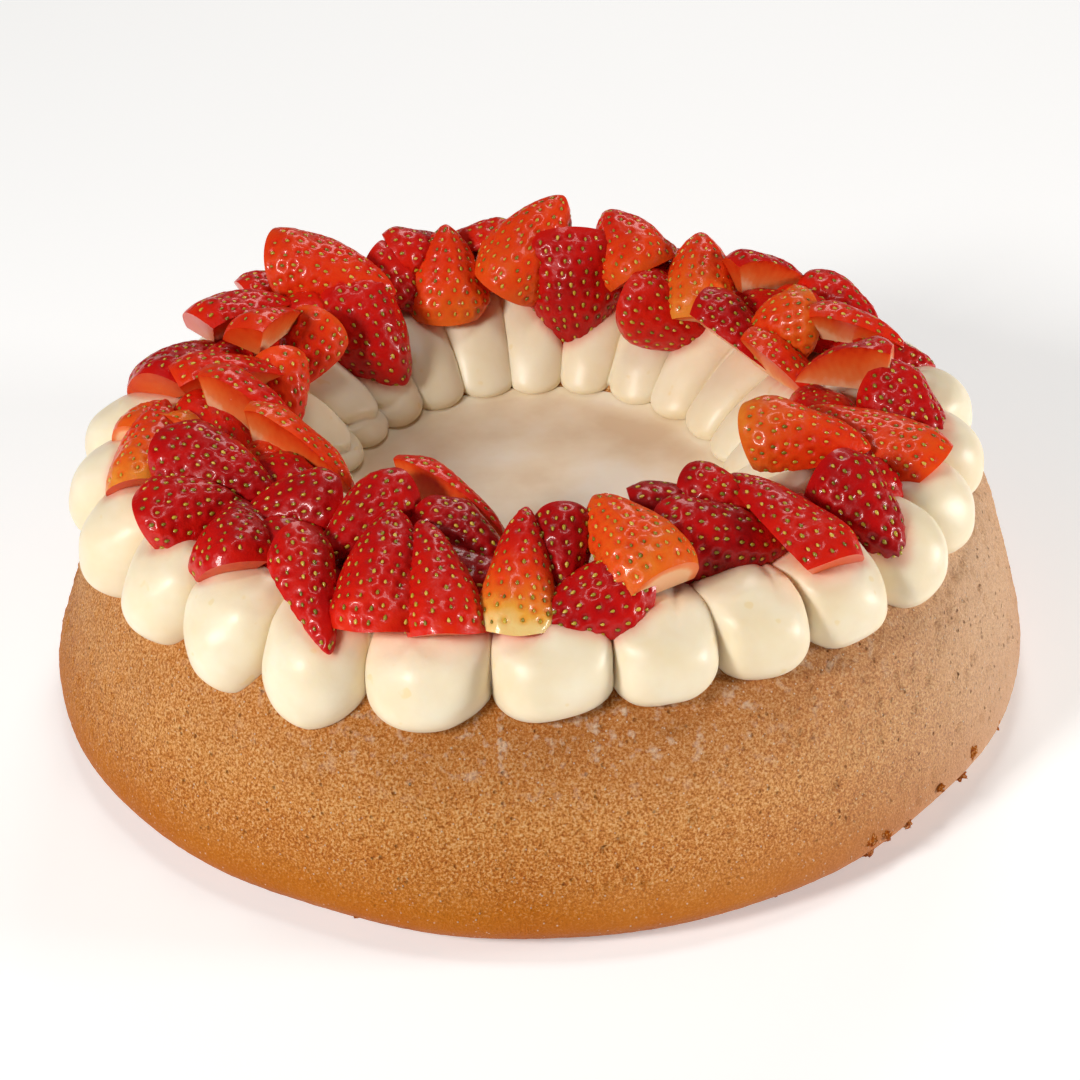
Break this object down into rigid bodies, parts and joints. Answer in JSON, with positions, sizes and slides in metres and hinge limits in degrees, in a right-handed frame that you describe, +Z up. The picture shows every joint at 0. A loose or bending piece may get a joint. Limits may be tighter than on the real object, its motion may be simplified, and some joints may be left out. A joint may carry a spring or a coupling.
{
  "type": "ring cake",
  "caption": "Round milk-soaked sponge cake with a shallow cream-filled centre, a wide border of piped cream bulbs and cut strawberries heaped on the border.",
  "frame": {"origin": "middle of the flat underside, where the cake rests", "axes": "+Z up out of the top of the cake, -Y towards the viewer's side of the picture, +X to the right"},
  "size_m": [0.3, 0.3, 0.1171],
  "materials": {
    "sponge": "matte, finely porous baked crust, damp in places",
    "piped_cream": "satin whipped cream",
    "pool_cream": "smooth satin cream soaked with milk",
    "strawberry": "glossy glazed fruit"
  },
  "bodies": {
    "root": {"sponge": "sponge", "cream_pool": "pool_cream", "cream_border_outer": "piped_cream", "cream_border_inner": "piped_cream", "strawberry_01": "strawberry", "strawberry_02": "strawberry", "strawberry_03": "strawberry", "strawberry_04": "strawberry", "strawberry_05": "strawberry", "strawberry_06": "strawberry", "strawberry_07": "strawberry", "strawberry_08": "strawberry", "strawberry_09": "strawberry", "strawberry_10": "strawberry", "strawberry_11": "strawberry", "strawberry_12": "strawberry", "strawberry_13": "strawberry", "strawberry_14": "strawberry", "strawberry_15": "strawberry", "strawberry_16": "strawberry", "strawberry_17": "strawberry", "strawberry_18": "strawberry", "strawberry_19": "strawberry", "strawberry_20": "strawberry", "strawberry_21": "strawberry", "strawberry_22": "strawberry", "strawberry_23": "strawberry", "strawberry_24": "strawberry", "strawberry_25": "strawberry", "strawberry_26": "strawberry", "strawberry_27": "strawberry", "strawberry_28": "strawberry", "strawberry_29": "strawberry", "strawberry_30": "strawberry", "strawberry_31": "strawberry", "strawberry_32": "strawberry", "strawberry_33": "strawberry", "strawberry_34": "strawberry", "strawberry_35": "strawberry", "strawberry_36": "strawberry", "strawberry_37": "strawberry", "strawberry_38": "strawberry", "strawberry_39": "strawberry", "strawberry_40": "strawberry", "strawberry_41": "strawberry", "strawberry_42": "strawberry", "strawberry_43": "strawberry", "strawberry_44": "strawberry", "strawberry_45": "strawberry", "strawberry_46": "strawberry", "strawberry_47": "strawberry", "strawberry_48": "strawberry", "strawberry_49": "strawberry", "strawberry_50": "strawberry", "strawberry_51": "strawberry", "strawberry_52": "strawberry", "strawberry_53": "strawberry", "strawberry_54": "strawberry", "strawberry_55": "strawberry", "strawberry_56": "strawberry"}
  },
  "joints": []
}
